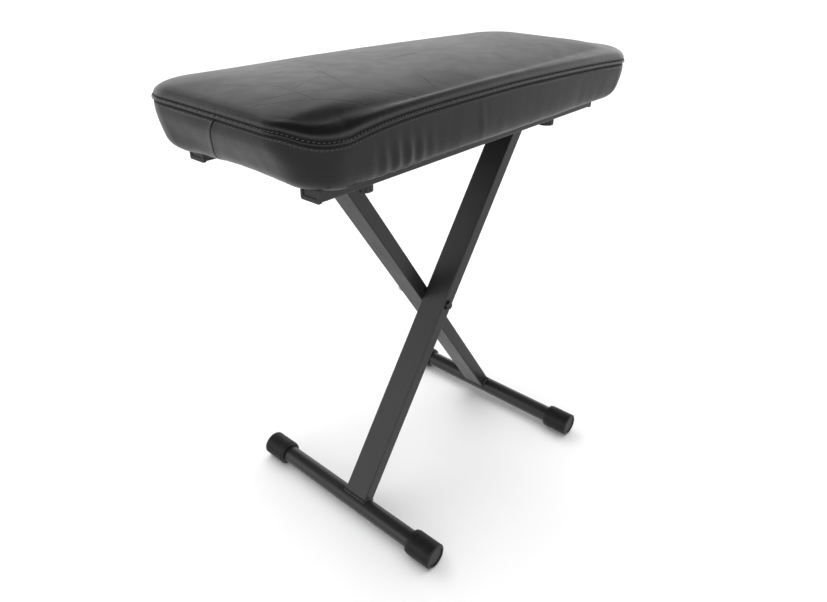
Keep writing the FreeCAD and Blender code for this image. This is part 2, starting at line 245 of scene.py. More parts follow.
class Finish(Protocol):
    """Something that makes one material."""

    def build(self) -> bpy.types.Material:
        """Make the material."""


@dataclass(frozen=True)
class Fold:
    """One long straight mark left in the top panel where the cover was folded: its two ends in plan."""

    start: tuple[float, float]
    end: tuple[float, float]
    depth: float = 1.0


@dataclass(frozen=True)
class Leatherette:
    """Black vinyl leather with a fine pebbled grain and a fan of long fold marks on top."""

    dark: Colour = (0.0036, 0.0036, 0.0038)
    pale: Colour = (0.0068, 0.0068, 0.0071)
    grain_per_metre: float = 820.0
    shine: float = 0.40
    worn: float = 0.12
    dulling: float = 0.60
    fold_floor: float = 0.580
    fold_fade: float = 8.0 * MM
    fold_waver: float = 6.0 * MM
    waver_per_metre: float = 24.0
    fold_width: float = 1.15 * MM
    folds: tuple[Fold, ...] = (
        Fold((-0.274, 0.056), (-0.227, -0.040), 0.8),
        Fold((-0.236, 0.026), (-0.183, 0.022), 0.6),
        Fold((-0.290, -0.036), (-0.190, -0.070), 0.9),
        Fold((-0.282, -0.046), (-0.200, -0.112), 1.0),
        Fold((-0.155, 0.032), (-0.190, -0.071), 0.8),
        Fold((-0.190, -0.071), (-0.150, -0.116), 1.0),
        Fold((-0.180, -0.020), (-0.236, -0.043), 0.7),
        Fold((-0.084, 0.010), (-0.098, -0.048), 0.5),
        Fold((-0.096, -0.064), (-0.117, -0.112), 0.6),
        Fold((0.058, -0.050), (0.024, -0.112), 0.5),
        Fold((-0.234, -0.006), (-0.240, -0.090), 0.7),
        Fold((0.120, 0.066), (0.176, 0.012), 0.5),
        Fold((0.030, 0.088), (0.082, 0.030), 0.4),
    )

    def build(self) -> bpy.types.Material:
        """Make the material: grain, pores, drawn folds and worn patches of gloss.

        Returns:
            The material.
        """
        r = Recipe("leatherette")
        patches = r.clouds(9.0, 4.0)
        rubbed = r.clouds(55.0, 3.0)
        r.tint(r.sum_of(patches, r.clouds(420.0, 2.0), "MULTIPLY"), self.dark, self.pale)
        crease = r.add("ShaderNodeAttribute", attribute_name="crease").outputs["Fac"]
        pebbles = r.cells(self.grain_per_metre, "SMOOTH_F1")
        pores = r.clouds(2600.0, 2.0)
        height = r.add("ShaderNodeSeparateXYZ", {"Vector": r.place}).outputs["Z"]
        on_top = r.span(height, self.fold_floor, self.fold_floor + self.fold_fade, 0.0, 1.0)
        marks = r.sum_of(self._marks(r), on_top, "MULTIPLY")
        gloss = r.sum_of(r.span(patches, 0.3, 0.7, 0.26, 0.31), r.span(rubbed, 0.35, 0.65, -0.015, 0.02))
        drawn = r.clouds(1.0, 3.0, r.stretched((95.0, 95.0, 16.0)))
        dulled = r.sum_of(crease, r.sum_of(marks, 0.25, "MULTIPLY"), "MAXIMUM")
        gloss = r.sum_of(gloss, r.sum_of(on_top, self.worn, "MULTIPLY"))
        gloss = r.sum_of(gloss, r.sum_of(dulled, self.dulling, "MULTIPLY"))
        r.set(Roughness=gloss, Specular_IOR_Level=self.shine)
        r.relief((
            (drawn, 0.0009, 0.16),
            (r.sum_of(1.0, marks, "SUBTRACT"), 0.0005, 0.40),
            (pebbles, 0.00020, 0.40),
            (pores, 0.00008, 0.35),
        ))
        return r.material

    def _marks(self, r: Recipe) -> Socket:
        """The fold marks: thin furrows that waver a little and fade at their ends.

        Args:
            r: the material in the making.

        Returns:
            How deep the marks are, from 0 to 1.
        """
        wanted = {"Vector": r.place, "Scale": self.waver_per_metre, "Detail": 2.0}
        waver = r.add("ShaderNodeTexNoise", wanted).outputs["Color"]
        shift = r.vectors("SUBTRACT", {0: waver, 1: (0.5, 0.5, 0.5)})
        small = r.vectors("SCALE", {0: shift, "Scale": self.fold_waver})
        moved = r.vectors("ADD", {0: r.place, 1: small})
        plan = r.vectors("MULTIPLY", {0: moved, 1: (1.0, 1.0, 0.0)})
        deepest: Any = 0.0
        for fold in self.folds:
            deepest = r.sum_of(self._mark(r, plan, fold), deepest, "MAXIMUM")
        broken = r.span(r.clouds(30.0, 3.0), 0.36, 0.56, 0.35, 1.0)
        return r.sum_of(deepest, broken, "MULTIPLY")

    def _mark(self, r: Recipe, plan: Socket, fold: Fold) -> Socket:
        """One fold mark.

        Args:
            r: the material in the making.
            plan: coordinates in plan.
            fold: the mark.

        Returns:
            How deep it is, from 0 to its own depth.
        """
        start = Vector((*fold.start, 0.0))
        run = Vector((*fold.end, 0.0)) - start
        offset = r.vectors("SUBTRACT", {0: plan, 1: start})
        share = r.vectors("DOT_PRODUCT", {0: offset, 1: tuple(run / run.length_squared)}, "Value")
        share = r.span(share, 0.0, 1.0, 0.0, 1.0)
        nearest = r.vectors("SCALE", {0: tuple(run), "Scale": share})
        gap = r.vectors("DISTANCE", {0: offset, 1: nearest}, "Value")
        furrow = r.span(gap, 0.0, self.fold_width, fold.depth, 0.0)
        middle = r.sum_of(r.sum_of(share, 0.5, "SUBTRACT"), 0.0, "ABSOLUTE")
        return r.sum_of(furrow, r.span(middle, 0.30, 0.5, 1.0, 0.15), "MULTIPLY")


@dataclass(frozen=True)
class Thread:
    """Twisted polyester sewing thread, coloured well above black as a painted highlight on the stitches."""

    # Painted highlight: the colour is lifted well above the thread's own black so that the stitches read as
    # bright specks.
    colour: Colour = (0.036, 0.036, 0.038)
    twist_per_metre: float = 1500.0

    def build(self) -> bpy.types.Material:
        """Make the material.

        Returns:
            The material.
        """
        r = Recipe("thread")
        strands = r.clouds(1.0, 1.0, r.stretched((self.twist_per_metre, self.twist_per_metre, 2800.0)))
        # The tint runs from 0.6 to 2.2 times the lifted colour along the twist: the strands' own tone, over
        # the painted highlight in the colour.
        r.tint(strands, tuple(0.6 * c for c in self.colour), tuple(2.2 * c for c in self.colour))
        r.set(Roughness=0.42, Specular_IOR_Level=0.6)
        r.relief(((strands, 0.00025, 0.7),))
        return r.material


@dataclass(frozen=True)
class Paint:
    """Satin powder coat over steel, with fine orange peel, dust and rubbed streaks."""

    name: str = "powder_coat"
    dark: Colour = (0.0090, 0.0090, 0.0095)
    pale: Colour = (0.0170, 0.0170, 0.0178)
    gloss: float = 0.33
    peel_per_metre: float = 950.0

    def build(self) -> bpy.types.Material:
        """Make the material.

        Returns:
            The material.
        """
        r = Recipe(self.name)
        patches = r.clouds(14.0, 4.0)
        specks = r.span(r.cells(640.0), 0.05, 0.11, 1.0, 0.0)
        streaks = r.clouds(1.0, 4.0, r.stretched((160.0, 160.0, 9.0)))
        r.tint(r.sum_of(patches, r.sum_of(specks, 0.25, "MULTIPLY")), self.dark, self.pale)
        even = r.span(patches, 0.3, 0.7, self.gloss - 0.03, self.gloss + 0.05)
        r.set(Roughness=r.sum_of(even, r.span(streaks, 0.4, 0.7, 0.0, 0.05)), Specular_IOR_Level=0.5)
        r.relief((
            (streaks, 0.00015, 0.10),
            (r.clouds(self.peel_per_metre, 2.0), 0.00010, 0.22),
        ))
        return r.material


@dataclass(frozen=True)
class Moulding:
    """Moulded rubber or plastic with a fine eroded surface and handling marks."""

    name: str
    dark: Colour
    pale: Colour
    roughness: float
    shine: float = 0.42
    stipple_per_metre: float = 1500.0
    stipple_depth: float = 0.00012

    def build(self) -> bpy.types.Material:
        """Make the material.

        Returns:
            The material.
        """
        r = Recipe(self.name)
        patches = r.clouds(38.0, 4.0)
        grain = r.clouds(self.stipple_per_metre, 3.0)
        rubs = r.clouds(1.0, 3.0, r.stretched((220.0, 40.0, 220.0), 0.6))
        scuffs = r.span(rubs, 0.60, 0.72, 0.0, 0.35)
        r.tint(r.sum_of(r.span(patches, 0.3, 0.7, 0.0, 0.6), scuffs), self.dark, self.pale)
        gloss = r.sum_of(self.roughness - 0.04, r.sum_of(grain, 0.10, "MULTIPLY"))
        r.set(Roughness=gloss, Specular_IOR_Level=self.shine)
        r.relief(((grain, self.stipple_depth, 0.45),))
        return r.material


@dataclass(frozen=True)
class PlatedSteel:
    """Bright or blackened steel with fine machining lines and a mottled plating."""

    name: str
    dark: Colour
    pale: Colour
    roughness: float

    def build(self) -> bpy.types.Material:
        """Make the material.

        Returns:
            The material.
        """
        r = Recipe(self.name)
        mottle = r.clouds(260.0, 3.0)
        lines = r.clouds(1.0, 2.0, r.stretched((900.0, 5200.0, 900.0)))
        r.tint(mottle, self.dark, self.pale)
        gloss = r.span(mottle, 0.3, 0.7, self.roughness - 0.06, self.roughness + 0.08)
        r.set(Metallic=1.0, Roughness=gloss)
        r.relief(((lines, 0.00006, 0.30),))
        return r.material


@dataclass(frozen=True)
class Plywood:
    """Raw birch plywood: turned layers at the edge and long grain on the faces."""

    ply: float = 0.0024
    pale: Colour = (0.62, 0.46, 0.28)
    dark: Colour = (0.33, 0.21, 0.11)

    def build(self) -> bpy.types.Material:
        """Make the material.

        Returns:
            The material.
        """
        r = Recipe("plywood")
        grain = r.clouds(1.0, 5.0, r.stretched((7.0, 140.0, 3.1416 / self.ply)))
        r.tint(r.span(grain, 0.32, 0.68, 0.0, 1.0), self.dark, self.pale)
        r.set(Roughness=r.span(grain, 0.3, 0.7, 0.72, 0.84))
        r.relief(((grain, 0.0003, 0.35),))
        return r.material


@dataclass(frozen=True)
class NonWoven:
    """Black non-woven cloth: pressed fibres with a small dimpled pattern."""

    dimple_per_metre: float = 420.0

    def build(self) -> bpy.types.Material:
        """Make the material.

        Returns:
            The material.
        """
        r = Recipe("dust_cloth")
        fibres = r.clouds(1.0, 5.0, r.stretched((900.0, 2600.0, 900.0), 0.4))
        dimples = r.span(r.cells(self.dimple_per_metre), 0.12, 0.36, 0.0, 1.0)
        r.tint(r.sum_of(fibres, dimples, "MULTIPLY"), (0.006, 0.006, 0.006), (0.030, 0.030, 0.032))
        r.set(Roughness=0.88, Sheen_Weight=0.25)
        r.relief(((dimples, 0.0003, 0.5), (fibres, 0.0002, 0.5)))
        return r.material


class Dress(Enum):
    """The finishes that the bench is dressed in."""

    LEATHERETTE = Leatherette()
    THREAD = Thread()
    POWDER_COAT = Paint()
    RUBBER = Moulding("rubber", (0.0060, 0.0060, 0.0060), (0.0160, 0.0160, 0.0157), 0.46,
                      shine=0.40, stipple_per_metre=1100.0, stipple_depth=0.00018)
    CAP_PLASTIC = Moulding("cap_plastic", (0.0120, 0.0120, 0.0125), (0.0240, 0.0240, 0.0250), 0.46)
    KNOB_PLASTIC = Moulding("knob_plastic", (0.0180, 0.0180, 0.0190), (0.0360, 0.0360, 0.0380), 0.40)
    BLOCK_PLASTIC = Moulding("block_plastic", (0.0160, 0.0160, 0.0160), (0.0320, 0.0320, 0.0320), 0.58)
    ZINC_STEEL = PlatedSteel("zinc_steel", (0.46, 0.47, 0.49), (0.72, 0.73, 0.75), 0.34)
    BLACK_STEEL = PlatedSteel("black_steel", (0.030, 0.030, 0.032), (0.085, 0.085, 0.090), 0.36)
    PLYWOOD = Plywood()
    NON_WOVEN = NonWoven()

    def material(self) -> bpy.types.Material:
        """The finish's material, made the first time that it is asked for.

        Returns:
            The material.
        """
        if self.name not in _MADE:
            finish: Finish = self.value
            _MADE[self.name] = finish.build()
        return _MADE[self.name]


_MADE: dict[str, bpy.types.Material] = {}


# ---------------------------------------------------------------- shared making


def finish_mesh(name: str, bm: bmesh.types.BMesh, dress: Dress, turned: bool = True) -> bpy.types.Object:
    """Turn a bmesh into a smooth, dressed object at the origin.

    Args:
        name: the piece's name.
        bm: the mesh, which is freed.
        dress: the finish.
        turned: whether the faces are turned outwards first.

    Returns:
        The new object.
    """
    if turned:
        bmesh.ops.recalc_face_normals(bm, faces=bm.faces)
    for face in bm.faces:
        face.smooth = True
    mesh = bpy.data.meshes.new(name)
    bm.to_mesh(mesh)
    bm.free()
    mesh.materials.append(dress.material())
    piece = bpy.data.objects.new(name, mesh)
    bpy.context.scene.collection.objects.link(piece)
    log.info("%s: %d vertices, %d faces", name, len(mesh.vertices), len(mesh.polygons))
    return piece


def seat_piece(piece: bpy.types.Object, body: str) -> bpy.types.Object:
    """Mount a piece on a body.

    Args:
        piece: the finished piece.
        body: the body that it moves with.

    Returns:
        The same piece.
    """
    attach(piece, body)
    return piece


def bell(distance: float, width: float) -> float:
    """A smooth bump of height 1 that has nearly gone at twice its width."""
    return math.exp(-(distance / width) ** 2)


def ease(value: float, start: float, end: float) -> float:
    """A smooth step from 0 at start to 1 at end."""
    t = min(1.0, max(0.0, (value - start) / (end - start)))
    return t * t * (3.0 - 2.0 * t)


# ---------------------------------------------------------------- the cushion


@dataclass(frozen=True)
class Outline:
    """A rounded rectangle in plan, walked once round from the middle of its -X side towards -Y."""

    half_x: float
    half_y: float
    corner: float

    @property
    def length(self) -> float:
        """The distance once round."""
        return 4.0 * (self.half_x + self.half_y - 2.0 * self.corner) + 2.0 * math.pi * self.corner

    def point(self, turn: float) -> Vector:
        """The point at a share of the way round.

        Args:
            turn: from 0 to 1.

        Returns:
            The point, at height 0.
        """
        straight_x, straight_y = self.half_x - self.corner, self.half_y - self.corner
        bend = self.corner * math.pi / 2.0
        left = (turn % 1.0) * self.length
        runs = (
            (straight_y, Vector((-self.half_x, 0, 0)), Vector((0, -1, 0)), (-1, -1), math.pi),
            (2 * straight_x, Vector((-straight_x, -self.half_y, 0)), Vector((1, 0, 0)), (1, -1),
             -math.pi / 2),
            (2 * straight_y, Vector((self.half_x, -straight_y, 0)), Vector((0, 1, 0)), (1, 1), 0.0),
            (2 * straight_x, Vector((straight_x, self.half_y, 0)), Vector((-1, 0, 0)), (-1, 1),
             math.pi / 2),
            (straight_y, Vector((-self.half_x, straight_y, 0)), Vector((0, -1, 0)), (-1, -1), math.pi),
        )
        for run, start, along, (sx, sy), first in runs:
            if left <= run:
                return start + along * left
            left -= run
            if left <= bend:
                angle = first + left / max(self.corner, 1e-9)
                centre = Vector((sx * straight_x, sy * straight_y, 0))
                return centre + Vector((math.cos(angle), math.sin(angle), 0)) * self.corner
            left -= bend
        return Vector((-self.half_x, 0, 0))


@dataclass(frozen=True)
class Station:
    """One level of the cushion's side: height over the lowest edge, draw-in on X and Y, and corner."""

    height: float
    inset_x: float
    inset_y: float
    corner: float

    def values(self) -> tuple[float, float, float, float]:
        """The four sizes."""
        return self.height, self.inset_x, self.inset_y, self.corner


@dataclass(frozen=True)
class Ridge:
    """A rounded ridge along a line of the leather, or a groove where its rise is negative."""

    rise: float
    level: float
    width: float

    def at(self, level: float) -> float:
        """How far it stands out at a level, or at a distance from its line."""
        return self.rise * bell(level - self.level, self.width)


@dataclass(frozen=True)
class Ripples:
    """Ripples drawn in the near side's leather by the near -X corner, with a lone fold beside them."""

    lean: float = 0.22
    lean_height: float = 18.0 * MM
    centre: float = -174.0 * MM
    start: float = -204.0 * MM
    pitch: float = 17.0 * MM
    reach: float = 34.0 * MM
    height: float = 16.0 * MM
    height_reach: float = 15.0 * MM
    depth: float = 1.15 * MM
    fold_centre: float = -52.0 * MM
    fold_width: float = 5.0 * MM
    fold_height: float = 24.0 * MM
    fold_reach: float = 18.0 * MM
    fold_depth: float = 0.7 * MM

    def at(self, x: float, height: float) -> float:
        """How far the leather stands out.

        Args:
            x: the place along the seat.
            height: the height over the seat's lowest edge.

        Returns:
            The distance.
        """
        leaned = x + self.lean * (height - self.lean_height)
        patch = bell(leaned - self.centre, self.reach) * bell(height - self.height, self.height_reach)
        wave = math.sin((leaned - self.start) * 2.0 * math.pi / self.pitch)
        fold = bell(leaned - self.fold_centre, self.fold_width)
        fold *= bell(height - self.fold_height, self.fold_reach)
        return self.depth * wave * patch + self.fold_depth * fold


@dataclass
class Cushion:
    """The padded seat: a tapered side, a sewn band, a rolled edge and a low crown.

    A level runs from 0 at the tucked underside to the last station at the rolled edge, and on by 1
    to the middle of the crown.
    """

    box: tuple[Vector, Vector]
    stations: tuple[Station, ...] = (
        Station(4.9 * MM, 51.0 * MM, 28.4 * MM, 22.0 * MM),
        Station(2.0 * MM, 46.5 * MM, 25.2 * MM, 26.0 * MM),
        Station(0.4 * MM, 39.5 * MM, 21.4 * MM, 31.0 * MM),
        Station(0.0 * MM, 31.5 * MM, 17.5 * MM, 35.0 * MM),
        Station(1.6 * MM, 23.5 * MM, 13.2 * MM, 37.0 * MM),
        Station(6.0 * MM, 14.5 * MM, 8.8 * MM, 40.0 * MM),
        Station(14.0 * MM, 7.4 * MM, 5.2 * MM, 43.0 * MM),
        Station(27.0 * MM, 3.4 * MM, 2.6 * MM, 46.0 * MM),
        Station(42.0 * MM, 1.4 * MM, 1.1 * MM, 49.0 * MM),
        Station(54.1 * MM, 0.6 * MM, 0.6 * MM, 52.0 * MM),
        Station(57.0 * MM, 0.1 * MM, 0.1 * MM, 52.0 * MM),
        Station(59.8 * MM, 0.6 * MM, 0.7 * MM, 52.0 * MM),
        Station(64.6 * MM, 1.7 * MM, 1.9 * MM, 51.5 * MM),
        Station(68.6 * MM, 5.4 * MM, 5.8 * MM, 49.5 * MM),
        Station(70.9 * MM, 11.6 * MM, 12.0 * MM, 46.0 * MM),
    )
    seam_level: float = 9.0
    lower_row: float = 8.80
    upper_row: float = 10.70
    upper_groove: float = 11.05
    ridges: tuple[Ridge, ...] = (
        Ridge(-1.3 * MM, seam_level, 0.20),
        Ridge(0.75 * MM, 10.0, 0.55),
        Ridge(-0.75 * MM, upper_groove, 0.20),
    )
    creases: tuple[Ridge, ...] = (Ridge(1.0, seam_level, 0.17), Ridge(0.9, upper_groove, 0.16))
    pucker: float = 0.14 * MM
    ripples: Ripples = Ripples()
    ripples_end: float = -80.0 * MM
    slack: float = 0.9 * MM
    drawn: float = 0.38 * MM
    foam_broad: float = 0.55 * MM
    foam_close: float = 0.10 * MM
    crown_drop: float = 13.0 * MM
    crown_reach: float = 45.0 * MM
    pull_start: float = 12.0 * MM
    pull_fade: float = 1.1
    pull_width: float = 1.7
    near_fall: float = 3.3 * MM
    end_fall: float = 7.5 * MM
    corner_dip: float = 8.5 * MM
    far_corner_share: float = 0.2
    dip_across: float = 0.72
    dip_along: float = 0.82
    waist: float = 0.024
    tuck: float = 11.0 * MM
    tuck_heights: tuple[float, float] = (4.0 * MM, 46.0 * MM)
    tuck_ends: tuple[float, float] = (48.0 * MM, 24.0 * MM)
    column_pitch: float = 2.6 * MM
    fine_pitch: float = 0.45 * MM
    fine_reach: float = 3.2 * MM
    butt_seam: float = 11.0 * MM
    butt_slant: float = 44.0 * MM
    slant_reach: float = 130.0 * MM
    butt_ridges: tuple[Ridge, ...] = (Ridge(0.55 * MM, 0.0, 5.0 * MM), Ridge(-1.9 * MM, 0.0, 0.75 * MM))
    form_pitch: float = 9.0 * MM
    net_pitch: float = 5.0 * MM
    held_edge: tuple[float, float] = (6.0 * MM, 18.0 * MM)
    held_band: tuple[float, float, float, float] = (36.0 * MM, 47.0 * MM, 60.0 * MM, 67.0 * MM)
    held_inset: float = 14.0 * MM
    held_from: float = 0.97
    puff_limit: float = 3.2 * MM
    evening_rounds: int = 14
    cloth_frames: int = 20
    cloth: tuple[tuple[str, float], ...] = (
        ("quality", 6),
        ("mass", 0.25),
        ("tension_stiffness", 30.0),
        ("compression_stiffness", 12.0),
        ("bending_stiffness", 6.0),
        ("uniform_pressure_force", 4.0),
        ("shrink_min", 0.012),
        ("pin_stiffness", 4.0),
    )
    stitch_pitch: float = 4.3 * MM
    stitch_share: float = 0.40
    stitch_tip: float = 0.16
    stitch_rise: float = 0.16 * MM
    thread_radius: float = 0.42 * MM

    def __post_init__(self) -> None:
        """Take the plan size and heights from the seat's own box."""
        low, high = self.box
        self.half_x = (high.x - low.x) / 2.0
        self.half_y = (high.y - low.y) / 2.0
        self.bottom = low.z
        self.crown = high.z
        self.last = float(len(self.stations) - 1)
        self.seam_height = self.stations[int(self.seam_level)].height
        widest = min(self.stations, key=lambda station: station.inset_x)
        self.around = Outline(self.half_x, self.half_y, widest.corner).length

    def build(self) -> None:
        """Build the skin, then the two rows of stitches along its band."""
        skin = self.shell(self.columns(self.column_pitch), self.levels(fine=True))
        self.puff(skin)
        self.shape_relief(skin)
        rows = {level: self.ring(skin, level) for level in (self.upper_row, self.lower_row)}
        crease = skin.verts.layers.float.new("crease")
        level = skin.verts.layers.float["level"]
        for vert in skin.verts:
            vert[crease] = self.crease(vert[level])
        skin.verts.layers.float.remove(skin.verts.layers.float["turn"])
        piece = finish_mesh("seat_cushion", skin, Dress.LEATHERETTE, turned=False)
        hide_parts("seat_cover", "seat_foam")
        seat_piece(piece, "seat")
        for name, level in (("stitches_upper", self.upper_row), ("stitches_lower", self.lower_row)):
            self.stitch(name, rows[level])

    def section(self, level: float) -> Station:
        """The side's section at a level, on a smooth curve through the stations.

        Args:
            level: from 0 to the last station.

        Returns:
            The section.
        """
        index = min(int(level), len(self.stations) - 2)
        share = level - index
        names = [max(0, min(len(self.stations) - 1, index + step)) for step in (-1, 0, 1, 2)]
        before, start, end, after = (self.stations[i].values() for i in names)
        mixed = []
        for a, b, c, d in zip(before, start, end, after):
            line = 2 * b + (c - a) * share
            bent = line + (2 * a - 5 * b + 4 * c - d) * share**2
            mixed.append((bent + (3 * b - a - 3 * c + d) * share**3) / 2.0)
        return Station(*mixed)

    def spot(self, turn: float, level: float) -> Vector:
        """A point of the skin before it is puffed.

        Args:
            turn: the share of the way round.
            level: the level, up to last + 1 at the middle of the crown.

        Returns:
            The point.
        """
        side = min(level, self.last)
        section = self.section(side)
        outline = Outline(self.half_x - section.inset_x, self.half_y - section.inset_y, section.corner)
        point = outline.point(self.slanted(turn, side, section.height, outline.length))
        if level <= self.last:
            point.z = self.bottom + section.height
            weight = ease(section.height, self.pull_start, self.seam_height)
        else:
            inward = level - self.last
            edge = self.stations[-1].inset_y
            run = self.half_y - edge
            spine = self.half_x - edge - run
            middle = Vector((max(-spine, min(spine, point.x * spine / (self.half_x - edge))), 0, 0))
            point = point.lerp(middle, inward)
            travelled = run * (inward - inward**3 / 3.0)
            point.z = self.bottom + section.height + self.dome(edge + travelled) - self.dome(edge)
            share = travelled / self.crown_reach
            weight = 0.5 * (math.exp(-share / self.pull_fade) + bell(share, self.pull_width))
        return self.settled(point, weight)

    def dome(self, inward: float) -> float:
        """The crown's height at a distance in from the side."""
        return self.crown - self.crown_drop * math.exp(-inward / self.crown_reach)

    def slanted(self, turn: float, level: float, height: float, length: float) -> float:
        """Lean the columns of the -X side so that its butt seam runs at a slant.

        Args:
            turn: the share of the way round.
            level: the level.
            height: the level's height over the lowest edge.
            length: the distance once round.

        Returns:
            The leaned share.
        """
        if level >= self.seam_level:
            return turn
        away = (turn if turn < 0.5 else turn - 1.0) * length
        window = math.cos(min(1.0, abs(away) / self.slant_reach) * math.pi / 2.0) ** 2
        fall = 1.0 - height / self.seam_height
        return turn - self.butt_slant * fall * window / length

    def settled(self, point: Vector, weight: float) -> Vector:
        """Let the near side, the +X end and the near corners sit lower, and draw the sides in.

        Args:
            point: a point of the even form.
            weight: how far the sewn band's pull reaches it.

        Returns:
            The moved point.
        """
        across, along = point.y / self.half_y, point.x / self.half_x
        height = point.z - self.bottom
        low = self.near_fall * ((1.0 - across) / 2.0) ** 2 + self.end_fall * max(0.0, along) ** 1.2
        if across < 0.0:
            dip = self.corner_dip * (1.0 if along < 0.0 else self.far_corner_share)
            low += dip * ease(-across, self.dip_across, 1.0) * min(1.0, abs(along) / self.dip_along) ** 5
        below = 1.0 - ease(height, *self.tuck_heights)
        below *= ease(abs(point.x), *(self.half_x - inset for inset in self.tuck_ends))
        point.z -= weight * low
        point.y *= 1.0 - weight * self.waist * (1.0 - along**2)
        middle = max(0.0, 1.0 - across**2) ** (2.0 if across > 0.0 else 1.0)
        point.x -= math.copysign(self.tuck * below * middle, along)
        return point

    def columns(self, pitch: float) -> list[float]:
        """Shares of the way round, mirrored in Y and closer together by the butt seam.

        Args:
            pitch: the usual distance between columns.

        Returns:
            The shares in order.
        """
        half = [0.0]
        while half[-1] < self.around / 2.0 - 0.6 * pitch:
            near = abs(half[-1] - self.butt_seam) < self.fine_reach and pitch < self.form_pitch
            half.append(half[-1] + (self.fine_pitch if near else pitch))
        half = [away * 0.5 / half[-1] for away in half]
        return half + [1.0 - share for share in reversed(half[1:-1])]

    def levels(self, fine: bool) -> list[float]:
        """The levels of the rings, close together where the band is sewn.

        Args:
            fine: whether the skin itself is made, or only a form for the simulation.

        Returns:
            The levels in order.
        """
        top = self.last
        if not fine:
            runs = ((0.0, 5.0, 5), (5.0, 9.0, 8), (9.0, top, 7), (top, top + 0.985, 14))
        else:
            runs = ((0.0, 5.0, 14), (5.0, 8.4, 16), (8.4, 11.6, 40), (11.6, top, 10),
                    (top, top + 0.992, 36))
        found = [0.0]
        for start, end, count in runs:
            found += [start + (end - start) * step / count for step in range(1, count + 1)]
        return found

    def shell(self, columns: list[float], levels: list[float]) -> bmesh.types.BMesh:
        """The closed form: a ring drawn up level by level, with a face across each end.

        Args:
            columns: shares of the way round.
            levels: the levels of the rings.

        Returns:
            The mesh, with each vertex's share and level kept in layers.
        """
        bm = bmesh.new()
        turn = bm.verts.layers.float.new("turn")
        level = bm.verts.layers.float.new("level")
        bmesh.ops.create_circle(bm, cap_ends=False, radius=self.half_x, segments=len(columns))
        bm.verts.ensure_lookup_table()
        ring = list(bm.edges)
        for vert, share in zip(bm.verts, columns):
            vert[turn] = share
            vert.co = self.spot(share, levels[0])
        bmesh.ops.contextual_create(bm, geom=ring)
        for height in levels[1:]:
            drawn = bmesh.ops.extrude_edge_only(bm, edges=ring)["geom"]
            ring = [part for part in drawn if isinstance(part, bmesh.types.BMEdge) and self._new(part)]
            for vert in {v for edge in ring for v in edge.verts}:
                vert[level] = height
                vert.co = self.spot(vert[turn], height)
        bmesh.ops.contextual_create(bm, geom=ring)
        bmesh.ops.recalc_face_normals(bm, faces=bm.faces)
        return bm

    @staticmethod
    def _new(edge: bmesh.types.BMEdge) -> bool:
        """Whether an edge is on the open rim that was just drawn out."""
        return len(edge.link_faces) == 1

    def puff(self, skin: bmesh.types.BMesh) -> None:
        """Blow the padding up between the held band and lower edge, and move the skin with it.

        Args:
            skin: the fine skin, which is moved.
        """
        form = self.shell(self.columns(self.form_pitch), self.levels(fine=False))
        rest = self._remeshed(form, self.net_pitch)
        before = [v.co.copy() for v in rest.data.vertices]
        held = rest.vertex_groups.new(name="held")
        for vert in rest.data.vertices:
            held.add([vert.index], self._grip(vert.co), "REPLACE")
        after = self._simulated(rest)
        pushes = self._evened(rest.data, [end - start for start, end in zip(before, after)])
        for index, push in enumerate(pushes):
            length = max(push.length, 1e-9)
            after[index] = before[index] + push * min(1.0, self.puff_limit / length)
        rest.data.calc_loop_triangles()
        faces = [tuple(t.vertices) for t in rest.data.loop_triangles]
        tree = BVHTree.FromPolygons(before, faces)
        for vert in skin.verts:
            index = tree.find_nearest(vert.co)[2]
            old, new = ([places[i] for i in faces[index]] for places in (before, after))
            vert.co = barycentric_transform(vert.co, *old, *new)
        bpy.data.objects.remove(rest)

    def _evened(self, mesh: bpy.types.Mesh, pushes: list[Vector]) -> list[Vector]:
        """Spread the pushes over their neighbours, so that the cover lies taut.

        Args:
            mesh: the net.
            pushes: how far each vertex is moved.

        Returns:
            The evened pushes.
        """
        beside: list[list[int]] = [[] for _ in pushes]
        for edge in mesh.edges:
            a, b = edge.vertices
            beside[a].append(b)
            beside[b].append(a)
        for _ in range(self.evening_rounds):
            means = [sum((pushes[i] for i in near), Vector()) / max(1, len(near)) for near in beside]
            pushes = [0.5 * (push + mean) for push, mean in zip(pushes, means)]
        return pushes

    def _grip(self, point: Vector) -> float:
        """How firmly the cover is held at a point of the form.

        Args:
            point: a point near the skin.

        Returns:
            1 along the band and the lower edge, and less between.
        """
        height = point.z - self.bottom
        out_x = abs(point.x) / (self.half_x - self.held_inset)
        out_y = abs(point.y) / (self.half_y - self.held_inset)
        tuck = 1.0 - ease(height, *self.held_edge)
        if max(out_x, out_y) <= self.held_from:
            return tuck
        band = ease(height, *self.held_band[:2]) * (1.0 - ease(height, *self.held_band[2:]))
        return max(band, tuck)

    @staticmethod
    def _remeshed(form: bmesh.types.BMesh, voxel: float) -> bpy.types.Object:
        """An even net of small squares over a form.

        Args:
            form: the form, which is freed.
            voxel: the squares' size.

        Returns:
            A new object with the net.
        """
        bmesh.ops.triangulate(form, faces=form.faces)
        mesh = bpy.data.meshes.new("form")
        form.to_mesh(mesh)
        form.free()
        carrier = bpy.data.objects.new("form", mesh)
        bpy.context.scene.collection.objects.link(carrier)
        net = carrier.modifiers.new("net", "REMESH")
        net.mode = "VOXEL"
        net.voxel_size = voxel
        seen = carrier.evaluated_get(bpy.context.evaluated_depsgraph_get())
        netted = bpy.data.meshes.new_from_object(seen)
        rest = bpy.data.objects.new("padding", netted)
        bpy.context.scene.collection.objects.link(rest)
        bpy.data.objects.remove(carrier)
        return rest

